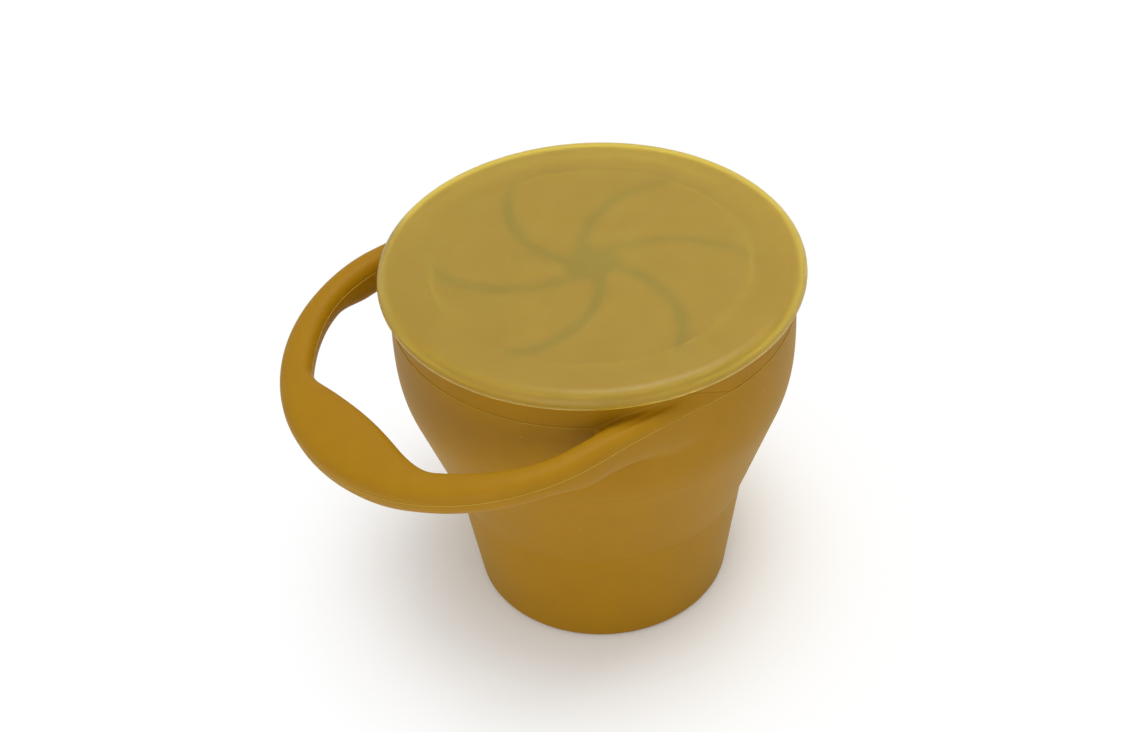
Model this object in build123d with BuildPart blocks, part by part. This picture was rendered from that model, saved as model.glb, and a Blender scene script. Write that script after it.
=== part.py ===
from build123d import *
import os
from math import acos, atan2, cos, degrees, radians, sin, sqrt

# A collapsible snack cup for a toddler, in millimetres. +Z is up, the cup stands on z = 0 with its
# axis on the Z axis, and the loop handle points along -X.

# ---- Driving dimensions: the cup ----
lower_height = 29.5  # resting face to the lower fold line
band_height = 26.5  # between the two fold lines
bowl_height = 28.6  # upper fold line to the rim
belly_above_fold = 15.0  # widest height of the bowl, above the upper fold line
parting_below_rim = 6.5  # mould parting line, below the rim
lower_top_radius = 33.6
base_taper = 4.2  # the lower cup is this much narrower at its base than at its top
rim_radius = 43.6
fold_inset = 1.0  # the upper fold line lies this far inside the rim
belly_bulge = 0.8  # the bowl's widest line stands this far outside the rim
parting_bulge = 0.5  # and its mould parting line this far
cup_wall = 2.2
band_wall = 1.3  # the fold band is thinner than the walls it joins
floor_thickness = 2.6
base_edge_radius = 2.0
crease_overhang = 1.3  # the band bulges out over the lower fold line
crease_rise = 1.9
rim_edge_radius = 0.5

# ---- Driving dimensions: the loop handle ----
handle_above_parting = 0.6  # the handle's mid-surface at its roots, above the parting line
handle_bend_start = 8.0  # from the cup's axis to where the handle starts to bend down
handle_bend_radius = 333.0
handle_projection = 28.5  # past the bowl's widest line
handle_splay = 2.2  # degrees between each side run and the handle's axis
root_proud = 0.1  # the side runs leave the wall almost along it
root_advance = 8.0  # and are clear of it this far past the point nearest to the cup's axis
handle_width = 5.4
handle_height = 7.4
handle_edge_radius = 2.2
thumb_pad_depth = 13.6
thumb_pad_bulge = 100.0  # radius of the pad's edge towards the cup
pad_corner_radius = 7.0

# ---- Driving dimensions: the flap lid ----
flange_thickness = 1.6
flange_overhang = 0.6  # the flange stands out past the rim
plug_depth = 5.0
plug_wall = 1.5
plug_clearance = 0.3
membrane_thickness = 1.2
membrane_recess = 0.4  # the flaps lie this far below the flange's top
ring_width = 3.2  # the raised ring around the flaps reaches this far in from the plug
flap_count = 6
hinge_inset = 2.0  # corners of the hexagon of hinge lines, inside the ring
centre_hole_radius = 6.0
slot_width = 2.5
slot_arc_radius = 24.15
slot_arc_offset = 23.4  # from the cup's axis to the centre of a slot's arc
slot_inner_radius = 4.5  # where a slot starts, inside the centre hole
slot_overrun = 0.4  # a slot ends this far past the hinge line's corner
first_slot_angle = 37.7  # direction of the first slot's arc centre, from +X

# ---- Driving dimensions: the cover lid ----
cover_panel = 1.7
cover_skirt_wall = 1.4
cover_skirt_flare = 0.3  # the skirt is this much wider above its lip
cover_flare_height = 0.9
cover_shoulder_radius = 2.8
cover_clearance = 0.4
cover_lip_below_rim = 0.2
seat_depth = 0.4  # the cover's panel touches the flange on a raised ring this deep
seat_width = 3.0

# ---- Worked out from them ----
fold_low_z = lower_height
fold_high_z = fold_low_z + band_height
rim_z = fold_high_z + bowl_height
belly_z = fold_high_z + belly_above_fold
parting_z = rim_z - parting_below_rim
base_radius = lower_top_radius - base_taper
band_top_radius = rim_radius - fold_inset
belly_radius = rim_radius + belly_bulge
parting_radius = rim_radius + parting_bulge
flange_radius = rim_radius + flange_overhang
flange_top_z = rim_z + flange_thickness
plug_radius = rim_radius - cup_wall - plug_clearance
membrane_z = flange_top_z - membrane_recess - membrane_thickness
ring_radius = plug_radius - plug_wall - ring_width
hinge_corner_radius = ring_radius - hinge_inset
slot_outer_radius = hinge_corner_radius + slot_overrun
skirt_inner_radius = flange_radius + cover_clearance
lip_radius = skirt_inner_radius + cover_skirt_wall
cover_radius = lip_radius + cover_skirt_flare
cover_lip_z = rim_z - cover_lip_below_rim
panel_z = flange_top_z + seat_depth
cover_top_z = panel_z + cover_panel
half_turn = 180.0

os.makedirs("parts", exist_ok=True)

# ---- Lower cup: floor and straight wall up to the lower fold line ----
with BuildPart() as lower_cup:
    with BuildSketch(Plane.XZ):
        with BuildLine():
            Polyline(
                (0, 0),
                (base_radius, 0),
                (lower_top_radius, fold_low_z),
                (lower_top_radius - cup_wall, fold_low_z),
                (base_radius - cup_wall, floor_thickness),
                (0, floor_thickness),
                close=True,
            )
        make_face()
    revolve(axis=Axis.Z)
    fillet(lower_cup.edges().group_by(Axis.Z)[0], radius=base_edge_radius)
    floor_corner = lower_cup.edges().filter_by(GeomType.CIRCLE).filter_by(
        lambda edge: abs(edge.center().Z - floor_thickness) < 0.01
    )
    fillet(floor_corner, radius=base_edge_radius)

# ---- Fold band: the thin cone that rolls inside out when the cup is pressed flat ----
crease_radius = lower_top_radius + crease_overhang
crease_z = fold_low_z + crease_rise
with BuildPart() as fold_band:
    with BuildSketch(Plane.XZ):
        with BuildLine():
            Line((lower_top_radius, fold_low_z), (crease_radius, crease_z))
            Line((crease_radius, crease_z), (band_top_radius, fold_high_z))
            Line((band_top_radius, fold_high_z), (band_top_radius - band_wall, fold_high_z))
            Line((band_top_radius - band_wall, fold_high_z), (crease_radius - band_wall, crease_z))
            Line((crease_radius - band_wall, crease_z), (lower_top_radius - band_wall, fold_low_z))
            Line((lower_top_radius - band_wall, fold_low_z), (lower_top_radius, fold_low_z))
        make_face()
    revolve(axis=Axis.Z)
    crease = fold_band.edges().filter_by(lambda edge: abs(edge.center().Z - crease_z) < 0.01)
    fillet(crease, radius=crease_rise * 0.6)

# ---- Upper bowl: first its outer form as a full solid, then the hollow ----
with BuildPart() as bowl_form:
    with BuildSketch(Plane.XZ):
        with BuildLine():
            belly_middle = (
                (band_top_radius + belly_radius) / 2 + (belly_radius - band_top_radius) / 4,
                (fold_high_z + belly_z) / 2,
            )
            ThreePointArc((band_top_radius, fold_high_z), belly_middle, (belly_radius, belly_z))
            Polyline(
                (belly_radius, belly_z),
                (parting_radius, parting_z),
                (rim_radius, rim_z),
                (0, rim_z),
                (0, fold_high_z),
                (band_top_radius, fold_high_z),
            )
        make_face()
    revolve(axis=Axis.Z)

with BuildPart() as upper_bowl:
    add(bowl_form.part)
    with BuildSketch(Plane.XZ):
        with BuildLine():
            ThreePointArc(
                (band_top_radius - cup_wall, fold_high_z),
                (belly_middle[0] - cup_wall, belly_middle[1]),
                (belly_radius - cup_wall, belly_z),
            )
            Polyline(
                (belly_radius - cup_wall, belly_z),
                (parting_radius - cup_wall, parting_z),
                (rim_radius - cup_wall, rim_z),
                (0, rim_z),
                (0, fold_high_z),
                (band_top_radius - cup_wall, fold_high_z),
            )
        make_face()
    revolve(axis=Axis.Z, mode=Mode.SUBTRACT)
    fillet(upper_bowl.edges().group_by(Axis.Z)[-1], radius=rim_edge_radius)

# ---- Loop handle: a loop that bends gently down, widened at its far end into a thumb pad ----
handle_z = parting_z + handle_above_parting
handle_reach = belly_radius + handle_projection
bend_reach = handle_reach - handle_bend_start
handle_drop = handle_bend_radius - sqrt(handle_bend_radius**2 - bend_reach**2)
handle_plane = Plane(origin=(0, 0, handle_z), x_dir=(-1, 0, 0), z_dir=(0, 0, 1))
side_angle = 90 - handle_splay  # direction in which the straight side runs face
side_normal = Vector(cos(radians(side_angle)), sin(radians(side_angle)))
side_distance = parting_radius + root_proud
loop_radius = (side_distance - handle_reach * side_normal.X) / (1 - side_normal.X)
inner_loop_radius = loop_radius - handle_width
loop_centre = handle_reach - loop_radius
loop_end = Vector(loop_centre, 0) + side_normal * loop_radius
side_direction = Vector(side_normal.Y, -side_normal.X)
root_start = side_normal * side_distance + side_direction * root_advance
inner_loop_end = loop_end - side_normal * handle_width
inner_root = root_start - side_normal * handle_width + side_direction * handle_width
pad_edge = handle_reach - thumb_pad_depth
pad_edge_centre = pad_edge + thumb_pad_bulge
pad_corner_u = (
    (inner_loop_radius**2 - thumb_pad_bulge**2 + pad_edge_centre**2 - loop_centre**2)
    / (2 * (pad_edge_centre - loop_centre))
)
pad_corner_v = sqrt(inner_loop_radius**2 - (pad_corner_u - loop_centre) ** 2)
pad_corner_angle = degrees(atan2(pad_corner_v, pad_corner_u - loop_centre))
pad_edge_angle = degrees(atan2(pad_corner_v, pad_corner_u - pad_edge_centre))

with BuildSketch(handle_plane) as finger_hole:
    with BuildLine():
        Line((inner_root.X, 0), inner_root)
        Line(inner_root, inner_loop_end)
        CenterArc((loop_centre, 0), inner_loop_radius, side_angle, pad_corner_angle - side_angle)
        CenterArc((pad_edge_centre, 0), thumb_pad_bulge, pad_edge_angle, half_turn - pad_edge_angle)
        Line((pad_edge, 0), (inner_root.X, 0))
    make_face()
    mirror(about=Plane.XZ)
    fillet(finger_hole.vertices().group_by(Axis.X)[-1], radius=pad_corner_radius)

with BuildPart() as loop_handle:
    with BuildSketch(handle_plane) as handle_outline:
        with BuildLine():
            CenterArc((loop_centre, 0), loop_radius, 0, side_angle)
            Line(loop_end, root_start)
            Line(root_start, (root_start.X, 0))
            Line((root_start.X, 0), (handle_reach, 0))
        make_face()
        mirror(about=Plane.XZ)
        add(finger_hole.sketch_local, mode=Mode.SUBTRACT)
    extrude(amount=handle_height + handle_drop, both=True)
    with BuildSketch(Plane.XZ):
        with Locations((-handle_bend_start, handle_z - handle_bend_radius)):
            Circle(handle_bend_radius + handle_height / 2)
            Circle(handle_bend_radius - handle_height / 2, mode=Mode.SUBTRACT)
    extrude(amount=side_distance + handle_width, both=True, mode=Mode.INTERSECT)
    bent_faces = loop_handle.faces().filter_by(GeomType.CYLINDER).filter_by(
        lambda face: face.radius > handle_bend_radius - handle_height
    )
    long_edges = bent_faces.edges().filter_by(GeomType.LINE, reverse=True)
    fillet(long_edges, radius=handle_edge_radius)
    add(bowl_form.part, mode=Mode.SUBTRACT)
    with BuildSketch(Plane.XY.offset(cover_lip_z - cover_clearance)):
        Circle(cover_radius + handle_edge_radius)
    extrude(amount=handle_height, mode=Mode.SUBTRACT)

# ---- Flap lid: flange on the rim, plug inside it, and a membrane opened by the six flaps ----
def slot_direction(distance):
    """Degrees at the slot arc's own centre between the cup's axis and the point this far from it."""
    squares = slot_arc_radius**2 + slot_arc_offset**2 - distance**2
    return degrees(acos(squares / (2 * slot_arc_radius * slot_arc_offset)))


corner_squares = hinge_corner_radius**2 + slot_arc_offset**2 - slot_arc_radius**2
corner_angle = first_slot_angle + degrees(
    acos(corner_squares / (2 * hinge_corner_radius * slot_arc_offset))
)
slot_start = half_turn - slot_direction(slot_outer_radius)
slot_sweep = slot_direction(slot_outer_radius) - slot_direction(slot_inner_radius)

with BuildLine() as slot_line:
    CenterArc((slot_arc_offset, 0), slot_arc_radius, slot_start, slot_sweep)

with BuildSketch(Plane.XY.offset(membrane_z)) as spiral_slots:
    with PolarLocations(0, flap_count, start_angle=first_slot_angle):
        SlotArc(slot_line.wire(), slot_width)

with BuildSketch(Plane.XY.offset(membrane_z)) as flap_faces:
    RegularPolygon(hinge_corner_radius, flap_count, rotation=corner_angle)
    Circle(centre_hole_radius, mode=Mode.SUBTRACT)
    add(spiral_slots.sketch_local, mode=Mode.SUBTRACT)

with BuildPart() as flap_lid:
    with BuildSketch(Plane.XZ):
        with BuildLine():
            Polyline(
                (0, membrane_z),
                (plug_radius - plug_wall, membrane_z),
                (plug_radius - plug_wall, rim_z - plug_depth),
                (plug_radius, rim_z - plug_depth),
                (plug_radius, rim_z),
                (flange_radius, rim_z),
                (flange_radius, flange_top_z),
                (ring_radius, flange_top_z),
                (ring_radius, membrane_z + membrane_thickness),
                (0, membrane_z + membrane_thickness),
                close=True,
            )
        make_face()
    revolve(axis=Axis.Z)
    with BuildSketch(Plane.XY.offset(membrane_z)):
        RegularPolygon(hinge_corner_radius, flap_count, rotation=corner_angle)
        add(spiral_slots.sketch_local)
    extrude(amount=flange_thickness, mode=Mode.SUBTRACT)
    flange_edges = flap_lid.edges().filter_by(
        lambda edge: edge.geom_type == GeomType.CIRCLE and edge.radius > flange_radius - 0.01
    )
    fillet(flange_edges, radius=flange_thickness * 0.3)

# ---- Flaps: one piece of the membrane between each two slots, hinged along its outer edge ----
petal_faces = flap_faces.sketch.faces().sort_by(
    lambda face: (degrees(atan2(face.center().Y, face.center().X)) - corner_angle) % 360
)
petals = []
for number, petal_face in enumerate(petal_faces, start=1):
    with BuildPart() as petal:
        add(petal_face)
        extrude(amount=membrane_thickness)
    petal.part.label = f"petal_{number}"
    petals.append(petal.part)

# ---- Cover lid: a plain disc whose skirt snaps down over the flange ----
with BuildPart() as cover_lid:
    with BuildSketch(Plane.XZ):
        with BuildLine():
            Polyline(
                (0, panel_z),
                (flange_radius - seat_width, panel_z),
                (flange_radius - seat_width, flange_top_z),
                (skirt_inner_radius, flange_top_z),
                (skirt_inner_radius, cover_lip_z),
                (lip_radius, cover_lip_z),
                (cover_radius, cover_lip_z + cover_flare_height),
                (cover_radius, cover_top_z),
                (0, cover_top_z),
                close=True,
            )
        make_face()
    revolve(axis=Axis.Z)
    fillet(cover_lid.edges().group_by(Axis.Z)[-1], radius=cover_shoulder_radius)

# ---- Labels and files ----
lower_cup.part.label = "lower_cup"
fold_band.part.label = "fold_band"
upper_bowl.part.label = "upper_bowl"
loop_handle.part.label = "loop_handle"
flap_lid.part.label = "flap_lid"
cover_lid.part.label = "cover_lid"

pieces = [
    lower_cup.part,
    fold_band.part,
    upper_bowl.part,
    loop_handle.part,
    flap_lid.part,
    *petals,
    cover_lid.part,
]
for piece in pieces:
    export_step(piece, f"parts/{piece.label}.step")
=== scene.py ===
"""A collapsible silicone snack cup for a toddler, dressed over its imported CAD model.

The cup is one moulding (lower cup, fold band, bowl and loop handle), closed by a lid of six spiral
flaps and by a milky cover lid. Lengths in this file are millimetres, and meshes are written in
metres. The frame has +Z up, the cup's axis on Z and the handle towards -X. In plan, u is the
distance from the axis towards the handle (-X) and v runs across it (-Y).
"""

from __future__ import annotations

import logging
import math
from dataclasses import dataclass, field
from enum import Enum
from typing import Any

import bpy
import numpy as np
from mathutils import Matrix, Vector

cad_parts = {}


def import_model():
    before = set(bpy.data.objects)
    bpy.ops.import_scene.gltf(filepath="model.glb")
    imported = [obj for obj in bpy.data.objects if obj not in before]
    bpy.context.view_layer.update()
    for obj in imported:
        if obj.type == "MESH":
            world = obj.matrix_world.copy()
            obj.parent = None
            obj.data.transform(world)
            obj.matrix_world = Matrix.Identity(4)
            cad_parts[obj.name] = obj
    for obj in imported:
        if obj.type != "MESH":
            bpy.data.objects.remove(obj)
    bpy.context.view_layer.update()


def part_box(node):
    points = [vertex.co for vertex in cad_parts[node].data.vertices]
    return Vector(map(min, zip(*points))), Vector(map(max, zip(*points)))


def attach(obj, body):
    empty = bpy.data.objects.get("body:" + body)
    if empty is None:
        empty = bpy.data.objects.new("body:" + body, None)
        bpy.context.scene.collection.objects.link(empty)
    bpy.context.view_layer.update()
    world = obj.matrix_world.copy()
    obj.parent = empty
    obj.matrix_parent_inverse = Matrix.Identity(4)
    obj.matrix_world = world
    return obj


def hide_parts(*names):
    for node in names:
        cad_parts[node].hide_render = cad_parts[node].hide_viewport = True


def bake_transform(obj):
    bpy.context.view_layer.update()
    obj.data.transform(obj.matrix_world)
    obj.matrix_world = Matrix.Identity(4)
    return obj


LOG = logging.getLogger("snack_cup")
MM = 0.001
FLAP_COUNT = 6
ARC_STEP = math.radians(11.0)  # longest turn between two points of a fillet
ARC_POINTS = 4  # fewest points of a fillet
MIX_A, MIX_B, MIX_RESULT = 6, 7, 2  # sockets of a Mix node that mixes colours


# ---------------------------------------------------------------- surfaces


class End(Enum):
    """How the first and the last row of a grid are closed."""

    JOINED = "joined to each other"
    POLE = "each gathered to its middle"
    ZIPPED = "each sewn flat, its first half to its second half"


def smoothstep(x: np.ndarray) -> np.ndarray:
    """Cubic 3x^2 - 2x^3 of x clipped to 0..1."""
    x = np.clip(x, 0.0, 1.0)
    return x * x * (3.0 - 2.0 * x)


def rounded(corners: list[tuple[float, float, float]], step: float) -> np.ndarray:
    """Turn a chain of corners into a profile with arcs at its corners.

    Each corner is (radius from the axis, height, fillet radius). A fillet is a circular arc that
    touches both of its straight runs. The runs are then divided into equal pieces, none of them as
    long as two steps.

    Args:
        corners: the corners in order, with 0 as the fillet radius of a sharp one.
        step: wanted length of the pieces of a straight run.

    Returns:
        The profile's points, (n, 2).
    """
    knots: list[np.ndarray] = []
    places = [np.array(corner[:2]) for corner in corners]
    for index, (place, corner) in enumerate(zip(places, corners)):
        fillet = corner[2]
        if fillet == 0.0 or index in (0, len(corners) - 1):
            knots.append(place[None])
            continue
        back = places[index - 1] - place
        ahead = places[index + 1] - place
        back = back / np.linalg.norm(back)
        ahead = ahead / np.linalg.norm(ahead)
        half = math.acos(float(np.clip(back @ ahead, -1.0, 1.0))) / 2.0
        bisector = (back + ahead) / np.linalg.norm(back + ahead)
        centre = place + bisector * fillet / math.sin(half)
        first = place + back * fillet / math.tan(half) - centre
        last = place + ahead * fillet / math.tan(half) - centre
        turn = math.atan2(first[0] * last[1] - first[1] * last[0], first @ last)
        count = max(ARC_POINTS, int(abs(turn) / ARC_STEP) + 1)
        angle = np.linspace(0.0, turn, count)[:, None]
        across = np.array([-first[1], first[0]])
        knots.append(centre + first * np.cos(angle) + across * np.sin(angle))
    chain = np.vstack(knots)
    pieces = []
    for start, stop in zip(chain[:-1], chain[1:]):
        count = max(1, int(np.linalg.norm(stop - start) / step))
        share = np.linspace(0.0, 1.0, count, endpoint=False)[:, None]
        pieces.append(start + (stop - start) * share)
    pieces.append(chain[-1:])
    return np.vstack(pieces)


def revolved(profile: np.ndarray, columns: int) -> np.ndarray:
    """Carry a profile round the cup's axis: x = r cos(angle), y = r sin(angle), z = height.

    Args:
        profile: (n, 2) points of radius and height.
        columns: steps round the axis.

    Returns:
        A grid of points, (n, columns, 3).
    """
    angle = np.linspace(0.0, 2.0 * np.pi, columns, endpoint=False)
    radius = profile[:, 0:1]
    height = np.repeat(profile[:, 1:2], columns, axis=1)
    return np.stack([radius * np.cos(angle), radius * np.sin(angle), height], axis=2)


def cell_faces(rows: np.ndarray, columns_joined: bool = True) -> np.ndarray:
    """Quads between neighbouring rows of vertex numbers.

    Args:
        rows: vertex numbers, (n, m).
        columns_joined: whether the last column meets the first one.

    Returns:
        Vertex numbers of the quads, (count, 4).
    """
    following = np.roll(rows, -1, axis=1)
    here, there = rows[:-1], rows[1:]
    here_next, there_next = following[:-1], following[1:]
    quads = np.stack([here, here_next, there_next, there], axis=2)
    if not columns_joined:
        quads = quads[:, :-1]
    return quads.reshape(-1, 4)


def signed_volume(points: np.ndarray, faces: list[list[int]]) -> float:
    """Volume inside a closed mesh, negative where its faces point inwards."""
    total = 0.0
    for size in (3, 4):
        chosen = np.array([face for face in faces if len(face) == size])
        if len(chosen) == 0:
            continue
        for last in range(2, size):
            a, b, c = (points[chosen[:, k]] for k in (0, last - 1, last))
            total += float(np.einsum("ij,ij->i", a, np.cross(b, c)).sum()) / 6.0
    return total


def closed_surface(
    name: str, grid: np.ndarray, ends: End, material: bpy.types.Material
) -> bpy.types.Object:
    """Make a closed mesh object of a grid whose columns go all the way round.

    Args:
        name: the object's name.
        grid: points in millimetres, (rows, columns, 3).
        ends: how the first and the last row are closed.
        material: the material of all its faces.

    Returns:
        The object, in the scene, with smooth faces that point outwards.
    """
    rows, columns = grid.shape[:2]
    points = grid.reshape(-1, 3)
    numbers = np.arange(rows * columns).reshape(rows, columns)
    if ends is End.JOINED:
        numbers = np.vstack([numbers, numbers[:1]])
    faces = cell_faces(numbers).tolist()
    poles = []
    for ring in (numbers[0][::-1], numbers[-1]):
        if ends is End.POLE:
            poles.append(points[ring].mean(axis=0))
            pole = rows * columns + len(poles) - 1
            faces += [[int(a), int(b), pole] for a, b in zip(ring, np.roll(ring, -1))]
        elif ends is End.ZIPPED:
            near, far = ring[: columns // 2], ring[columns // 2 :][::-1]
            faces += cell_faces(np.stack([near, far]), columns_joined=False).tolist()
    if poles:
        points = np.vstack([points, np.array(poles)])
    if signed_volume(points, faces) < 0.0:
        faces = [face[::-1] for face in faces]
    mesh = bpy.data.meshes.new(name)
    mesh.from_pydata((points * MM).tolist(), [], faces)
    mesh.polygons.foreach_set("use_smooth", np.ones(len(mesh.polygons), dtype=bool))
    mesh.validate()
    mesh.update()
    mesh.materials.append(material)
    piece = bpy.data.objects.new(name, mesh)
    bpy.context.scene.collection.objects.link(piece)
    return piece


# ---------------------------------------------------------------- finishes


def linear(colour: str) -> tuple[float, float, float, float]:
    """Turn an sRGB hex colour such as "#A0781E" into linear RGBA."""
    parts = [int(colour[k : k + 2], 16) / 255.0 for k in (1, 3, 5)]
    red, green, blue = (c / 12.92 if c <= 0.04045 else ((c + 0.055) / 1.055) ** 2.4 for c in parts)
    return red, green, blue, 1.0


def add_node(
    tree: bpy.types.NodeTree,
    kind: str,
    settings: dict[str | int, Any],
    links: dict[str | int, bpy.types.NodeSocket],
) -> bpy.types.Node:
    """Add one shader node.

    Args:
        tree: the node tree of a material or of the world.
        kind: the node's type name.
        settings: attributes of the node, or default values by input name or number.
        links: output sockets of other nodes, by input name or number.

    Returns:
        The new node.
    """
    node = tree.nodes.new(kind)
    for key, value in settings.items():
        if isinstance(key, str) and hasattr(node, key):
            setattr(node, key, value)
        else:
            node.inputs[key].default_value = value
    for key, socket in links.items():
        tree.links.new(socket, node.inputs[key])
    return node


@dataclass(frozen=True)
class MouldedSilicone:
    """Platinum-cured silicone rubber from a fine-blasted mould: satin, slightly soft in the light.

    The blasted mould gives broad, weak highlights, and a faint sheen stands for the light that its
    skin scatters at grazing angles. Its grain is too fine to show, so it is drawn at grain_mm. The
    pigment is mottled a little, in clouds of mottle_mm. Handling leaves sparse lint specks, which
    silicone holds by static. Softness is the share of light that scatters below the skin, and
    clearness is the share that passes through.
    """

    name: str
    colour: str
    deep_colour: str
    roughness: float
    softness: float = 0.0
    clearness: float = 0.0
    gloss: float = 0.2
    roughness_spread: float = 0.05
    scatter_mm: float = 1.2
    scatter_tint: tuple[float, float, float] = (1.0, 0.55, 0.15)
    sheen: float = 0.08
    sheen_roughness: float = 0.5
    sheen_tint: str = "#D2C840"
    mottle_mm: float = 7.0
    mottle_detail: float = 4.0
    mottle_roughness: float = 0.62
    mottle_range: tuple[float, float] = (0.3, 0.7)
    grain_mm: float = 0.45
    grain_detail: float = 2.0
    grain_strength: float = 0.6
    grain_depth_mm: float = 0.012
    lint_spacing_mm: float = 5.5
    lint_size_mm: float = 0.16
    lint_cover: float = 0.55
    lint_colour: str = "#D8CFB4"
    ior: float = 1.41

    def material(self) -> bpy.types.Material:
        """Build the procedural material.

        Returns:
            The material, which reads Object coordinates.
        """
        made = bpy.data.materials.new(self.name)
        made.use_nodes = True
        tree = made.node_tree
        tree.nodes.clear()
        place = add_node(tree, "ShaderNodeTexCoord", {}, {}).outputs["Object"]
        cloud = add_node(
            tree,
            "ShaderNodeTexNoise",
            {
                "Scale": 1.0 / (self.mottle_mm * MM),
                "Detail": self.mottle_detail,
                "Roughness": self.mottle_roughness,
            },
            {"Vector": place},
        )
        tone = add_node(
            tree,
            "ShaderNodeMapRange",
            {"From Min": self.mottle_range[0], "From Max": self.mottle_range[1]},
            {"Value": cloud.outputs["Fac"]},
        )
        body = add_node(
            tree,
            "ShaderNodeMix",
            {
                "data_type": "RGBA",
                MIX_A: linear(self.deep_colour),
                MIX_B: linear(self.colour),
            },
            {"Factor": tone.outputs["Result"]},
        )
        lint = add_node(
            tree,
            "ShaderNodeTexVoronoi",
            {"Scale": 1.0 / (self.lint_spacing_mm * MM), "Randomness": 1.0},
            {"Vector": place},
        )
        speck = add_node(
            tree,
            "ShaderNodeMapRange",
            {
                "From Min": self.lint_size_mm / self.lint_spacing_mm,
                "From Max": 0.5 * self.lint_size_mm / self.lint_spacing_mm,
                "To Max": self.lint_cover,
            },
            {"Value": lint.outputs["Distance"]},
        )
        dusty = add_node(
            tree,
            "ShaderNodeMix",
            {"data_type": "RGBA", MIX_B: linear(self.lint_colour)},
            {"Factor": speck.outputs["Result"], MIX_A: body.outputs[MIX_RESULT]},
        )
        grain = add_node(
            tree,
            "ShaderNodeTexNoise",
            {"Scale": 1.0 / (self.grain_mm * MM), "Detail": self.grain_detail},
            {"Vector": place},
        )
        bump = add_node(
            tree,
            "ShaderNodeBump",
            {"Strength": self.grain_strength, "Distance": self.grain_depth_mm * MM},
            {"Height": grain.outputs["Fac"]},
        )
        satin = add_node(
            tree,
            "ShaderNodeMapRange",
            {
                "To Min": self.roughness - self.roughness_spread,
                "To Max": self.roughness + self.roughness_spread,
            },
            {"Value": cloud.outputs["Fac"]},
        )
        shader = add_node(
            tree,
            "ShaderNodeBsdfPrincipled",
            {
                "IOR": self.ior,
                "Subsurface Weight": self.softness,
                "Subsurface Radius": self.scatter_tint,
                "Subsurface Scale": self.scatter_mm * MM,
                "Specular IOR Level": self.gloss,
                "Transmission Weight": self.clearness,
                "Sheen Weight": self.sheen,
                "Sheen Roughness": self.sheen_roughness,
                "Sheen Tint": linear(self.sheen_tint),
            },
            {
                "Base Color": dusty.outputs[MIX_RESULT],
                "Roughness": satin.outputs["Result"],
                "Normal": bump.outputs["Normal"],
            },
        )
        add_node(tree, "ShaderNodeOutputMaterial", {}, {"Surface": shader.outputs["BSDF"]})
        return made


@dataclass(frozen=True)
class Finishes:
    """The silicones of the cup, its flash, the flaps and the cover.

    The cup and the flaps are opaque mustard. The flash has a paler colour: a painted highlight for
    the light that its thin bead scatters and catches along its edge. The cover is milky: it passes
    most of the light, and the flaps below show as soft shapes.
    """

    cup: MouldedSilicone = MouldedSilicone(
        "cup_moulded_silicone", "#9E7206", "#996E05", roughness=0.52, softness=0.12
    )
    flap: MouldedSilicone = MouldedSilicone(
        "flap_moulded_silicone", "#A07408", "#9B6F07", roughness=0.52, softness=0.12
    )
    # The flash is coloured paler than the cup: a painted highlight for the light its thin bead
    # scatters and catches on its edge.
    flash: MouldedSilicone = MouldedSilicone(
        "flash_silicone_painted_highlight", "#B48E34", "#AC862C", roughness=0.5, softness=0.3
    )
    cover: MouldedSilicone = MouldedSilicone(
        "cover_milky_silicone",
        "#ECD454",
        "#E8CE4C",
        roughness=0.42,
        clearness=0.81,
        sheen=0.0,
    )


# ---------------------------------------------------------------- the cup's moulding


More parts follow.
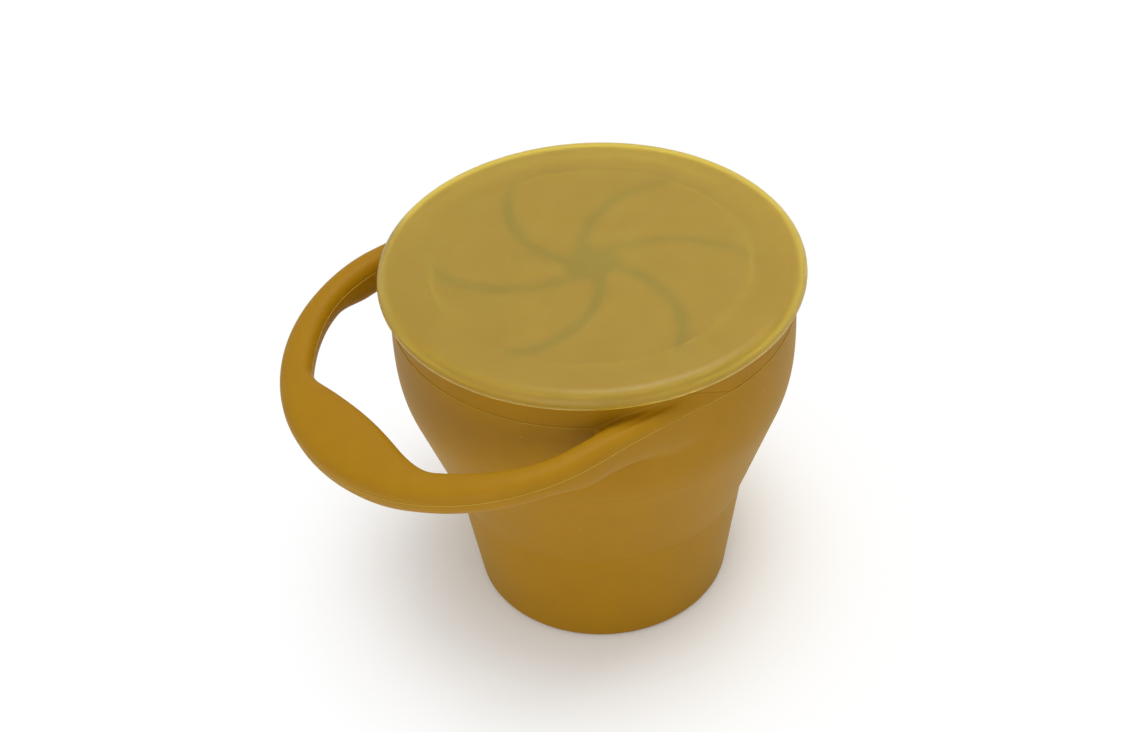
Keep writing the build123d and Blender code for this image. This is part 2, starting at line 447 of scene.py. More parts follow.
@dataclass
class CupMoulding:
    """The cup's walls and its ring of flash, turned about the axis.

    The fold band laps out over the lower fold line by a small round step, bulges at the crease and
    runs up as a cone. Each fold line is a fine groove with a close row of points beside it, which
    keeps the shading of the walls even. Above the parting line the bowl is set back by a collar.
    """

    material: bpy.types.Material
    flash_painted_highlight_material: bpy.types.Material
    columns: int = 288
    step: float = 0.8
    flash_radius: float = 0.11
    flash_turns: int = 8
    base_inset: float = 4.2
    base_edge: float = 2.0
    lap: float = 0.2
    lap_rise: float = 0.15
    lap_round: float = 0.3
    crease_overhang: float = 0.75
    crease_rise: float = 1.9
    crease_round: float = 1.3
    crease_inner_rise: float = 0.6
    groove: float = 0.05
    support: float = 0.04
    band_wall: float = 1.3
    cup_wall: float = 2.2
    floor: float = 2.6
    rim_inset: float = 0.8
    rim_round: float = 0.5
    foot_lip: float = 0.1
    foot_round: float = 0.05
    foot_clear: float = 0.2
    parting_below_rim: float = 6.5
    parting_zone: float = 0.5
    parting_rows: int = 17
    parting_clear: float = 0.6
    collar_step: float = 0.06
    collar_width: float = 0.3
    belly_above_fold: float = 15.0
    low_curve: float = 2.8
    high_curve: float = 1.7
    fold_low: float = field(init=False)
    fold_high: float = field(init=False)
    rim: float = field(init=False)
    rim_radius: float = field(init=False)
    belly_radius: float = field(init=False)
    fold_radius: float = field(init=False)
    lower_radius: float = field(init=False)

    def __post_init__(self) -> None:
        """Take the heights and radii from the frame's solids."""
        self.fold_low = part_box("lower_cup")[1][2] / MM
        self.fold_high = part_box("fold_band")[1][2] / MM
        self.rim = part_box("upper_bowl")[1][2] / MM
        self.lower_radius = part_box("lower_cup")[1][1] / MM
        self.fold_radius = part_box("fold_band")[1][1] / MM
        self.belly_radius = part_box("upper_bowl")[1][1] / MM
        self.rim_radius = self.belly_radius - self.rim_inset

    @property
    def parting(self) -> float:
        """Height of the mould's parting line."""
        return self.rim - self.parting_below_rim

    def wall_radius(self, height: np.ndarray) -> np.ndarray:
        """Outer radius of the bowl: full at the belly, less by a power of the distance from it.

        Args:
            height: heights from the upper fold line to the rim.

        Returns:
            The radius at each height.
        """
        belly = self.fold_high + self.belly_above_fold
        below = np.clip((belly - height) / self.belly_above_fold, 0.0, 1.0)
        above = np.clip((height - belly) / (self.rim - belly), 0.0, 1.0)
        low_drop = (self.belly_radius - self.fold_radius) * below**self.low_curve
        high_drop = (self.belly_radius - self.rim_radius) * above**self.high_curve
        return self.belly_radius - low_drop - high_drop

    def collar(self, height: np.ndarray) -> np.ndarray:
        """Set the wall above the parting line back by a small smooth step."""
        return -self.collar_step * smoothstep((height - self.parting) / self.collar_width + 0.5)

    def parting_flash(self) -> bpy.types.Object:
        """Fine ring of flash on the wall, half sunk at the mould's parting line."""
        turn = np.linspace(0.0, 2.0 * np.pi, self.flash_turns, endpoint=False)
        radius = float(self.wall_radius(np.array(self.parting)))
        out = radius + self.flash_radius * np.cos(turn)
        up = self.parting + self.flash_radius * np.sin(turn)
        grid = revolved(np.stack([out, up], axis=1), 2 * self.columns)
        piece = closed_surface("parting_flash", grid, End.JOINED, self.flash_painted_highlight_material)
        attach(piece, "bowl")
        return piece

    def bowl(self) -> bpy.types.Object:
        """Bowl wall from the upper fold line to the rim, closed over the rim and down inside.

        Its rows are a step apart, and closer near the parting line and the fold line.
        """
        top = self.rim - self.rim_round
        low = self.fold_high + self.groove
        zone = np.linspace(-self.parting_zone, self.parting_zone, self.parting_rows)
        fine = self.parting + zone
        coarse = np.append(np.arange(low, top, self.step), low + self.support)
        coarse = coarse[np.abs(coarse - self.parting) > self.parting_clear]
        heights = np.sort(np.concatenate([coarse, fine]))
        outer = np.stack([self.wall_radius(heights) + self.collar(heights), heights], axis=1)
        inner_heights = np.arange(top, self.fold_high + self.foot_clear, -self.step)
        inner = np.stack([self.wall_radius(inner_heights) - self.cup_wall, inner_heights], axis=1)
        over = rounded(
            [
                (outer[-1, 0], outer[-1, 1], 0.0),
                (outer[-1, 0], self.rim, self.rim_round),
                (inner[0, 0], self.rim, self.rim_round),
                (inner[0, 0], inner[0, 1], 0.0),
            ],
            self.step,
        )
        foot = rounded(
            [
                (inner[-1, 0], self.fold_high + self.foot_lip, 0.0),
                (inner[-1, 0], self.fold_high, self.foot_round),
                (self.fold_radius - self.groove, self.fold_high, self.foot_round),
                (outer[0, 0], outer[0, 1], 0.0),
            ],
            self.step,
        )
        profile = np.vstack([outer[:-1], over[:-1], inner, foot[:-1]])
        grid = revolved(profile, self.columns)
        piece = closed_surface("bowl_skin", grid, End.JOINED, self.material)
        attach(piece, "bowl")
        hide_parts("upper_bowl")
        return piece

    def band(self) -> bpy.types.Object:
        """Thin fold band: a cone whose lower edge bulges out over the lower fold line.

        Its profile is a closed chain, so the last point, which repeats the first, is left out.
        """
        nose = self.lower_radius + self.crease_overhang
        nose_height = self.fold_low + self.crease_rise
        slope = (self.fold_radius - nose) / (self.fold_high - nose_height)
        top = self.fold_high - self.groove
        outer_top = self.fold_radius - slope * self.groove
        slope_in = -slope * self.support
        profile = rounded(
            [
                (self.lower_radius - self.groove, self.fold_low, 0.0),
                (self.lower_radius + self.lap, self.fold_low + self.lap_rise, self.lap_round),
                (nose, nose_height, self.crease_round),
                (outer_top + slope_in, top - self.support, 0.0),
                (outer_top, top, 0.0),
                (self.fold_radius - self.groove, self.fold_high, 0.0),
                (self.fold_radius - self.band_wall, self.fold_high, 0.0),
                (
                    nose - self.band_wall,
                    nose_height + self.crease_inner_rise,
                    self.crease_round,
                ),
                (self.lower_radius - self.band_wall, self.fold_low, 0.0),
                (self.lower_radius - self.groove, self.fold_low, 0.0),
            ],
            self.step,
        )[:-1]
        grid = revolved(profile, self.columns)
        piece = closed_surface("band_skin", grid, End.JOINED, self.material)
        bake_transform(piece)
        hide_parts("fold_band")
        return piece

    def lower_cup(self) -> bpy.types.Object:
        """Floor and tapering wall up to the lower fold line, without the two points on the axis."""
        base = self.lower_radius - self.base_inset
        profile = rounded(
            [
                (0.0, 0.0, 0.0),
                (base, 0.0, self.base_edge),
                (self.lower_radius, self.fold_low, self.groove),
                (self.lower_radius - self.cup_wall, self.fold_low, self.groove),
                (base - self.cup_wall, self.floor, self.base_edge),
                (0.0, self.floor, 0.0),
            ],
            self.step,
        )[1:-1]
        grid = revolved(profile, self.columns)
        piece = closed_surface("lower_cup_skin", grid, End.POLE, self.material)
        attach(piece, "cup_base")
        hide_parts("lower_cup")
        return piece

    def build(self) -> list[bpy.types.Object]:
        """Make the four turned pieces."""
        return [self.lower_cup(), self.band(), self.bowl(), self.parting_flash()]


@dataclass
class LoopHandle:
    """Loop handle: a loop that bends gently down, with a thumb pad at its far end.

    Its section is a superellipse |a/width|^n + |b/height|^n = 1 whose widest points carry the
    mould's flash line. Near the roots the section grows upwards and downwards. Each root is a
    Hermite loft from the loop's section to an oval on the bowl's wall, where it arrives along the
    wall. The oval lies root_middle degrees round the axis from the handle's direction and reaches
    root_front degrees towards the handle and root_rear degrees away from it. Root_leave and
    root_arrive hold how strongly the loft's tangents pull at its outer, inner, upper and lower
    points. The loop sags a little on its near side, which faces the camera, and rises on its far
    side.
    """

    cup: CupMoulding
    material: bpy.types.Material
    width: float = 5.5
    rise: float = 2.85
    drop: float = 4.45
    pad_rise: float = 3.45
    pad_drop: float = 5.15
    root_rise: float = 0.3
    root_drop: float = 2.5
    splay: float = 2.15
    side_proud: float = 0.05
    bend_start: float = 6.6
    bend_radius: float = 323.0
    above_parting: float = 1.45
    reach_proud: float = 0.2
    side_sag: float = 0.6
    sag_start: float = 10.0
    sag_length: float = 60.0
    sag_most: float = 1.2
    section_power: float = 2.3
    section_points: int = 64
    pad_power: float = 3.1
    pad_growth: float = 6.0
    pad_depth: float = 14.3
    pad_bulge: float = 70.0
    pad_corner_near: float = 4.5
    pad_corner_far: float = 3.0
    neck_start: float = 42.0
    neck_length: float = 23.0
    neck_near: float = 1.8
    neck_far: float = 1.3
    least_cosine: float = 0.05
    root_growth_from: float = 46.0
    root_growth: float = 12.0
    root_middle: float = 72.0
    root_front: float = 22.0
    root_rear: float = 20.0
    root_up: float = 4.6
    root_down: float = 11.0
    root_front_power: float = 2.0
    root_rear_power: float = 3.0
    root_low_power: float = 0.6
    root_leave: tuple[float, float, float, float] = (26.0, 7.0, 9.0, 17.0)
    root_arrive: tuple[float, float, float, float] = (11.0, 7.0, 9.0, 9.0)
    sunk: float = 0.03
    sunk_end: float = 0.9
    end_gather: float = 0.85
    sunk_rows: int = 2
    stations: int = 150
    root_steps: int = 30
    reach: float = field(init=False)
    loop_radius: float = field(init=False)
    loop_centre: float = field(init=False)
    turns: np.ndarray = field(init=False)

    def __post_init__(self) -> None:
        """Work out the loop's circle, which touches the far end and both side lines."""
        self.reach = -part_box("loop_handle")[0][0] / MM + self.reach_proud
        lean = math.sin(math.radians(self.splay))
        side = self.cup.wall_radius(np.array(self.cup.parting)) + self.side_proud
        self.loop_radius = float((side - self.reach * lean) / (1.0 - lean))
        self.loop_centre = self.reach - self.loop_radius
        self.turns = np.linspace(0.0, 2.0 * np.pi, self.section_points, endpoint=False)

    @property
    def last_angle(self) -> float:
        """Angle round the loop's centre at which the loop ends and its near root starts."""
        return math.radians(90.0 - self.splay)

    def middle_height(self, u: np.ndarray) -> np.ndarray:
        """Height of the loop's middle: level at the roots, then falling as (u - start)^2 / 2R."""
        run = np.maximum(u - self.bend_start, 0.0)
        return self.cup.parting + self.above_parting - run * run / (2.0 * self.bend_radius)

    def inner_radius(self, angle: np.ndarray) -> np.ndarray:
        """Distance from the loop's centre to the finger hole's edge.

        The lesser of the loop's inner radius and the pad's edge u = edge + v^2 / 2B, joined by a
        smooth minimum that rounds the corner between them.
        """
        near = smoothstep(np.sin(angle) + 0.5)  # 0 on the far side, 1 on the near side
        u = self.loop_centre + self.loop_radius * np.cos(angle)
        neck = (self.neck_far + (self.neck_near - self.neck_far) * near) * smoothstep(
            (u - self.neck_start) / self.neck_length
        )
        loop = self.loop_radius - self.width - neck
        edge = self.reach - self.pad_depth - self.loop_centre
        flat = edge / np.maximum(np.cos(angle), self.least_cosine)
        pad = flat + (flat * np.sin(angle)) ** 2 / (2.0 * self.pad_bulge)
        corner = self.pad_corner_far + (self.pad_corner_near - self.pad_corner_far) * near
        close = np.maximum(corner - np.abs(loop - pad), 0.0) / corner
        return np.minimum(loop, pad) - close * close * corner / 4.0

    def section_offsets(
        self, half_width: np.ndarray, power: np.ndarray, rise: np.ndarray, drop: np.ndarray
    ) -> tuple[np.ndarray, np.ndarray]:
        """Superellipse offsets of each station, with its own heights above and below the flash.

        Args:
            half_width: half widths of the stations, (n,).
            power: superellipse powers of the stations, (n,).
            rise: heights above the flash line, (n,).
            drop: depths below the flash line, (n,).

        Returns:
            Offsets outwards and upwards, each (n, turns).
        """
        cosine, sine = np.cos(self.turns)[None], np.sin(self.turns)[None]
        power = power[:, None]
        size = (np.abs(cosine) ** power + np.abs(sine) ** power) ** (-1.0 / power)
        tall = np.where(sine > 0.0, rise[:, None], drop[:, None])
        return half_width[:, None] * size * cosine, tall * size * sine

    def ring(self, angle: np.ndarray) -> tuple[np.ndarray, np.ndarray]:
        """Sections of the loop at some angles round its centre.

        Args:
            angle: angles round the loop's centre, 0 at the far end, (n,).

        Returns:
            Points (n, turns, 3) as (u, v, z), and path directions (n, 3).
        """
        inner = self.inner_radius(angle)
        half = (self.loop_radius - inner) / 2.0
        centre = (self.loop_radius + inner) / 2.0
        fat = smoothstep((half * 2.0 - self.width) / self.pad_growth)
        power = self.section_power + (self.pad_power - self.section_power) * fat
        u = self.loop_centre + self.loop_radius * np.cos(angle)
        rootward = smoothstep((self.root_growth_from - u) / self.root_growth)
        tall = self.rise + (self.pad_rise - self.rise) * fat + self.root_rise * rootward
        deep = self.drop + (self.pad_drop - self.drop) * fat + self.root_drop * rootward
        out, up = self.section_offsets(half, power, tall, deep)
        slope = -np.maximum(u - self.bend_start, 0.0) / self.bend_radius
        middle_u = self.loop_centre + centre * np.cos(angle)
        middle_v = centre * np.sin(angle)
        middle = np.stack([middle_u, middle_v, self.middle_height(middle_u)], axis=1)
        outward = np.stack([np.cos(angle), np.sin(angle), np.cos(angle) * slope], axis=1)
        outward /= np.linalg.norm(outward, axis=1, keepdims=True)
        along = np.stack([-np.sin(angle), np.cos(angle), -np.sin(angle) * slope], axis=1)
        along /= np.linalg.norm(along, axis=1, keepdims=True)
        upward = np.cross(outward, along)
        out_part = out[..., None] * outward[:, None]
        return middle[:, None] + out_part + up[..., None] * upward[:, None], along

    def root(self) -> np.ndarray:
        """Loft from the loop's last section to its oval on the wall, then on into the wall.

        Each point runs along the cubic Hermite curve between its place on the section, leaving
        along the loop, and its place on the oval, arriving along the wall and away from the oval's
        middle.

        Returns:
            Rows from the loop towards the wall, (rows, turns, 3), without the loop's own section.
        """
        section, along = self.ring(np.array([self.last_angle]))
        start, leave = section[0], along[0]
        cosine, sine = np.cos(self.turns), np.sin(self.turns)
        swing = np.where(cosine > 0.0, self.root_rear, self.root_front) * cosine
        up_power = np.where(cosine < 0.0, self.root_front_power, self.root_rear_power)
        up = self.root_up * np.abs(sine) ** up_power
        down = self.root_down * np.abs(sine) ** self.root_low_power
        lift = np.where(sine > 0.0, up, -down)
        psi = np.radians(self.root_middle + swing)
        height = self.cup.parting + lift
        radius = self.cup.wall_radius(height) - self.sunk
        end = np.stack([radius * np.cos(psi), radius * np.sin(psi), height], axis=1)
        half = 0.5  # half a millimetre up and down, so the difference is the slope
        slant = self.cup.wall_radius(height + half) - self.cup.wall_radius(height - half)
        round_wall = np.stack([-np.sin(psi), np.cos(psi), np.zeros_like(psi)], axis=1)
        from_axis = np.stack([np.cos(psi), np.sin(psi), np.zeros_like(psi)], axis=1)
        up_wall = from_axis * slant[:, None] + np.array([0.0, 0.0, 1.0])
        spread = np.radians(swing) * self.cup.belly_radius
        arrive = round_wall * spread[:, None] + up_wall * lift[:, None]
        arrive /= np.linalg.norm(arrive, axis=1, keepdims=True)
        outer, inner = np.maximum(cosine, 0.0) ** 2, np.maximum(-cosine, 0.0) ** 2
        upper, lower = np.maximum(sine, 0.0) ** 2, np.maximum(-sine, 0.0) ** 2
        sides = np.stack([outer, inner, upper, lower], axis=1)
        go, come = sides @ np.array(self.root_leave), sides @ np.array(self.root_arrive)
        s = np.linspace(0.0, 1.0, self.root_steps)[1:, None, None]
        loft = (
            (2 * s**3 - 3 * s**2 + 1) * start
            + (s**3 - 2 * s**2 + s) * go[:, None] * leave
            + (3 * s**2 - 2 * s**3) * end
            + (s**3 - s**2) * come[:, None] * arrive
        )
        middle = end.mean(axis=0)
        inside = end - from_axis * self.sunk_end
        gathered = middle + (inside - middle) * self.end_gather
        return np.concatenate([loft, inside[None], gathered[None]])

    def build(self) -> list[bpy.types.Object]:
        """Join root, loop and root into one closed skin and lay the flash along it.

        The outer bead follows the widest points of roots and loop as far as the wall, and the inner
        one those of the loop alone.

        Returns:
            The handle's skin and its two beads, which ride with the bowl.
        """
        loop, _ = self.ring(np.linspace(self.last_angle, -self.last_angle, self.stations))
        root = self.root()
        grid = np.concatenate([root[::-1], loop, root * np.array([1.0, -1.0, 1.0])])
        share = np.clip((grid[..., 0] - self.sag_start) / self.sag_length, 0.0, self.sag_most)
        grid[..., 2] -= self.side_sag * share * grid[..., 1] / self.loop_radius
        grid = grid * np.array([-1.0, -1.0, 1.0])
        piece = closed_surface("loop_handle_skin", grid, End.POLE, self.material)
        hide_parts("loop_handle")
        outer = grid[self.sunk_rows : -self.sunk_rows, 0]
        inner = grid[len(root) : len(root) + self.stations, self.section_points // 2]
        beads = [self.flash_bead("outer_flash", outer), self.flash_bead("inner_flash", inner)]
        for made in (piece, *beads):
            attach(made, "bowl")
        return [piece, *beads]

    def flash_bead(self, name: str, line: np.ndarray) -> bpy.types.Object:
        """Fine bead of flash, half sunk along a line of the handle.

        Args:
            name: the bead's name.
            line: the points it follows, (n, 3).

        Returns:
            A tube of circular rings, each square to the line.
        """
        along = np.gradient(line, axis=0)
        along /= np.linalg.norm(along, axis=1, keepdims=True)
        side = np.cross(along, np.array([0.0, 0.0, 1.0]))
        side /= np.linalg.norm(side, axis=1, keepdims=True)
        upward = np.cross(side, along)
        turn = np.linspace(0.0, 2.0 * np.pi, self.cup.flash_turns, endpoint=False)[None, :, None]
        ring = side[:, None] * np.cos(turn) + upward[:, None] * np.sin(turn)
        grid = line[:, None] + self.cup.flash_radius * ring
        return closed_surface(name, grid, End.POLE, self.cup.flash_painted_highlight_material)


# ---------------------------------------------------------------- the lids


@dataclass
class FlapLid:
    """Flange, plug and membrane, cut by six spiral slots into six flaps round a centre hole.

    The frame is turned, and only the edge of its opening changes with the angle. Each flap is a
    thin grid with an upper and a lower sheet. Its sheets come closer at its tip and along its two
    long edges, down to tip_share and edge_share of the membrane's thickness, which stands for
    their rounding.
    """

    cup: CupMoulding
    material: bpy.types.Material
    plug_wall: float = 1.5
    plug_clearance: float = 0.3
    ring_width: float = 3.2
    membrane: float = 1.2
    recess: float = 0.4
    recess_draft: float = 0.1
    recess_round: float = 0.12
    flange_round: float = 0.48
    seat_round: float = 0.2
    plug_round: float = 0.5
    membrane_round: float = 0.4
    opening_round: float = 0.12
    frame_step: float = 2.0
    frame_columns: int = 1080
    hinge_inset: float = 2.0
    slot_overrun: float = 0.4
    slot_width: float = 2.5
    slot_arc: float = 24.15
    slot_offset: float = 23.4
    centre_hole: float = 6.0
    first_slot: float = 37.7
    petal_columns: int = 25
    petal_rows: int = 46
    tip_rows: tuple[float, ...] = (0.0, 0.004, 0.012)
    first_row: float = 0.03
    tip_share: float = 0.45
    edge_share: float = 0.6
    settling_rounds: int = 40
    bend_length: float = 6.0
    plug_depth: float = field(init=False)
    rim: float = field(init=False)
    flange_top: float = field(init=False)
    flange_radius: float = field(init=False)
    plug_radius: float = field(init=False)
    ring_radius: float = field(init=False)
    corner_radius: float = field(init=False)
    membrane_low: float = field(init=False)
    corner_angle: float = field(init=False)

    def __post_init__(self) -> None:
        """Take the heights from the frame and work the plan out from the rim."""
        low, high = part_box("flap_lid")
        self.rim = self.cup.rim
        self.plug_depth = self.rim - low[2] / MM
        self.flange_top = high[2] / MM
        self.flange_radius = high[1] / MM
        self.plug_radius = self.cup.rim_radius - self.cup.cup_wall - self.plug_clearance
        self.ring_radius = self.plug_radius - self.plug_wall - self.ring_width
        self.corner_radius = self.ring_radius - self.hinge_inset
        self.membrane_low = self.flange_top - self.recess - self.membrane
        self.corner_angle = float(self.slot_angle(np.array(self.corner_radius)))

    def slot_angle(self, radius: np.ndarray) -> np.ndarray:
        """Direction from the axis, in radians, of the first slot's middle line at a radius.

        The line is an arc of radius a whose centre lies at distance d from the axis, so the angle
        from the centre's direction follows from the cosine rule: acos((r^2 + d^2 - a^2) / 2rd).
        """
        squares = radius**2 + self.slot_offset**2 - self.slot_arc**2
        return np.radians(self.first_slot) + np.arccos(squares / (2.0 * radius * self.slot_offset))

    def slot_half_angle(self, radius: np.ndarray) -> np.ndarray:
        """Half of the angle that a slot takes at a radius: its half width over r cos(slant)."""
        step = 0.01  # small against the slot's curve
        turn = (self.slot_angle(radius + step) - self.slot_angle(radius - step)) / (2.0 * step)
        slant = np.sqrt(1.0 + (radius * turn) ** 2)
        return self.slot_width / 2.0 * slant / radius

    def opening_radius(self, angle: np.ndarray) -> np.ndarray:
        """Edge of the frame's opening: the hexagon of hinge lines, let out at each slot's end."""
        pitch = 2.0 * np.pi / FLAP_COUNT
        away = (angle - self.corner_angle) % pitch
        chord = self.corner_radius * np.cos(pitch / 2.0)
        hexagon = chord / np.cos(away - pitch / 2.0)
        end_radius = self.corner_radius + self.slot_overrun
        end_angle = float(self.slot_angle(np.array(end_radius))) - self.corner_angle
        side = (away - end_angle + pitch / 2.0) % pitch - pitch / 2.0
        reach = (self.slot_width / 2.0) ** 2 - (end_radius * np.sin(side)) ** 2
        notch = end_radius * np.cos(side) + np.sqrt(np.maximum(reach, 0.0))
        return np.where(reach > 0.0, np.maximum(hexagon, notch), hexagon)

    def frame_piece(self) -> bpy.types.Object:
        """Flange, plug and the rim of the membrane, turned about the axis with a shaped opening.

        The turned profile runs from the membrane's top over the flange and round the plug to its
        underside. Rings at shares of the way from the opening's edge to it close the membrane.

        Returns:
            The lid's frame, which rides with the flap lid.
        """
        top = self.membrane_low + self.membrane
        plug_inner = self.plug_radius - self.plug_wall
        plug_low = self.rim - self.plug_depth
        fixed = rounded(
            [
                (self.ring_radius, top, 0.0),
                (self.ring_radius + self.recess_draft, self.flange_top, self.recess_round),
                (self.flange_radius, self.flange_top, self.flange_round),
                (self.flange_radius, self.rim, self.flange_round),
                (self.plug_radius, self.rim, self.seat_round),
                (self.plug_radius, plug_low, self.plug_round),
                (plug_inner, plug_low, self.plug_round),
                (plug_inner, self.membrane_low, self.membrane_round),
                (self.ring_radius, self.membrane_low, 0.0),
            ],
            self.frame_step,
        )
        angle = np.linspace(0.0, 2.0 * np.pi, self.frame_columns, endpoint=False)
        edge = self.opening_radius(angle)
        shares = np.array([0.0, 0.0, 1.0 / 3.0, 2.0 / 3.0])[:, None]
        insets = np.array([0.0, self.opening_round, 0.0, 0.0])[:, None]
        drops = (self.opening_round, 0.0, 0.0, 0.0)
        radii = edge * (1.0 - shares) + self.ring_radius * shares + insets
        under = [
            self.flat_ring(radius, self.membrane_low + drop, angle)
            for radius, drop in zip(radii, drops)
        ]
        over = [self.flat_ring(radius, top - drop, angle) for radius, drop in zip(radii, drops)]
        turned = revolved(fixed, self.frame_columns)
        grid = np.concatenate([turned, np.stack(under[::-1]), np.stack(over)])
        piece = closed_surface("flap_frame_skin", grid, End.JOINED, self.material)
        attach(piece, "flap_lid")
        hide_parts("flap_lid")
        return piece

    def flat_ring(self, radius: np.ndarray, height: float, angle: np.ndarray) -> np.ndarray:
        """One level ring of points, (columns, 3), with its own radius at each angle."""
        return np.stack(
            [radius * np.cos(angle), radius * np.sin(angle), np.full_like(angle, height)], axis=1
        )

    def petal(self, number: int) -> bpy.types.Object:
        """One flap between two slots, from the centre hole out to its hinge line.

        Its rows keep a share of the way from the hole to the hinge chord, and each point's angle is
        one slot's edge plus a share of the gap to the next slot. The chord's radius depends on that
        angle, so the radii move half of the way to their new values, round after round, until they
        settle. The sheets lie half the membrane's thickness above and below its middle, times a lip
        that grows from the tip as a quarter of an ellipse.

        Args:
            number: 0 for the first flap.

        Returns:
            The flap, with its place baked into its mesh.
        """
        pitch = 2.0 * np.pi / FLAP_COUNT
        middle = self.corner_angle + pitch / 2.0
        chord = self.corner_radius * math.cos(pitch / 2.0)
        across = np.linspace(0.0, 1.0, self.petal_columns)
        rows = np.linspace(self.first_row, 1.0, self.petal_rows)
        along = np.concatenate([self.tip_rows, rows])[:, None]
        radius = np.full((len(along), len(across)), chord)
        for _ in range(self.settling_rounds):
            outer = self.petal_angle(np.maximum(radius[-1:], self.centre_hole), across)
            target = self.centre_hole + along * (chord / np.cos(outer - middle) - self.centre_hole)
            radius = 0.5 * radius + 0.5 * target
        angle = self.petal_angle(radius, across) + number * pitch
        tip = self.tip_rows[-1]
        lip = np.sqrt(np.clip(1.0 - (1.0 - along / tip) ** 2, 0.0, 1.0))
        lip = self.tip_share + (1.0 - self.tip_share) * lip
        lip = np.where(along >= tip, 1.0, lip)
        thick = self.membrane / 2.0
        centre = self.membrane_low + thick
        upper = np.full(len(across), thick)
        upper[0] = upper[-1] = thick * self.edge_share
        radius = np.concatenate([radius, radius[:, ::-1]], axis=1)
        angle = np.concatenate([angle, angle[:, ::-1]], axis=1)
        height = centre + np.concatenate([upper, -upper[::-1]])[None] * lip
        grid = np.stack([radius * np.cos(angle), radius * np.sin(angle), height], axis=2)
        body = f"petal_{number + 1}"
        piece = closed_surface(f"{body}_skin", grid, End.ZIPPED, self.material)
        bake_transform(piece)
        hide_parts(body)
        return piece

    def petal_angle(self, radius: np.ndarray, across: np.ndarray) -> np.ndarray:
        """Angle of points that lie a share of the way across the first flap, slot to slot."""
        pitch = 2.0 * np.pi / FLAP_COUNT
        half = self.slot_half_angle(radius)
        return self.slot_angle(radius) + half + across * (pitch - 2.0 * half)

    def build(self) -> list[bpy.types.Object]:
        """Make the frame and its flaps."""
        return [self.frame_piece(), *(self.petal(number) for number in range(FLAP_COUNT))]


@dataclass
class CoverLid:
    """Milky cover: a flat panel with a rounded shoulder and a short skirt over the flange.

    Under the panel a low ridge runs round, and outside it the cover thickens by a slope to the seat
    that lies on the flange with a hair's gap.
    """

    lid: FlapLid
    material: bpy.types.Material
    columns: int = 288
    step: float = 1.2
    panel: float = 1.7
    skirt_wall: float = 1.4
    skirt_round: float = 0.5
    flare: float = 0.3
    flare_height: float = 0.9
    flare_round: float = 0.5
    shoulder: float = 2.8
    seat_width: float = 3.0
    seat_slope: float = 2.4
    seat_start_share: float = 0.3
    seat_low_round: float = 0.8
    seat_high_round: float = 1.2
    seat_gap: float = 0.06
    lip_round: float = 0.35
    panel_dish: float = 0.12
    dish_share: float = 0.72
    dish_round: float = 18.0
    ridge_radius: float = 34.6
    ridge_width: float = 0.5
    ridge_height: float = 0.45
    ridge_top_share: float = 0.3
    ridge_foot_round: float = 0.1
    ridge_top_round: float = 0.12

    def build(self) -> bpy.types.Object:
        """Turn the cover's closed profile about the axis.

        Returns:
            The cover's object, which rides with its own body.
        """
        low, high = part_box("cover_lid")
        bottom, top, radius = low[2] / MM, high[2] / MM, high[1] / MM
        lip = radius - self.flare
        inner = lip - self.skirt_wall
        under = top - self.panel
        seat = self.lid.flange_radius - self.seat_width
        seat_height = self.lid.flange_top + self.seat_gap
        ridge, half_top = self.ridge_radius, self.ridge_top_share * self.ridge_width
        profile = rounded(
            [
                (0.0, under, 0.0),
                (ridge - self.ridge_width, under, self.ridge_foot_round),
                (ridge - half_top, under - self.ridge_height, self.ridge_top_round),
                (ridge + half_top, under - self.ridge_height, self.ridge_top_round),
                (ridge + self.ridge_width, under, self.ridge_foot_round),
                (seat - self.seat_slope, under, self.seat_high_round),
                (seat + self.seat_start_share * self.seat_slope, seat_height, self.seat_low_round),
                (inner, seat_height, self.skirt_round),
                (inner, bottom, self.lip_round),
                (lip, bottom, self.lip_round),
                (radius, bottom + self.flare_height, self.flare_round),
                (radius, top, self.shoulder),
                (radius * self.dish_share, top - self.panel_dish, self.dish_round),
                (0.0, top - self.panel_dish, 0.0),
            ],
            self.step,
        )[1:-1]
        grid = revolved(profile, self.columns)
        piece = closed_surface("cover_skin", grid, End.POLE, self.material)
        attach(piece, "cover")
        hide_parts("cover_lid")
        return piece


# ---------------------------------------------------------------- staging


@dataclass(frozen=True)
class Softbox:
    """A square soft lamp that faces the cup: its place and side in millimetres, power in watts."""

    name: str
    place: tuple[float, float, float]
    side: float
    watts: float


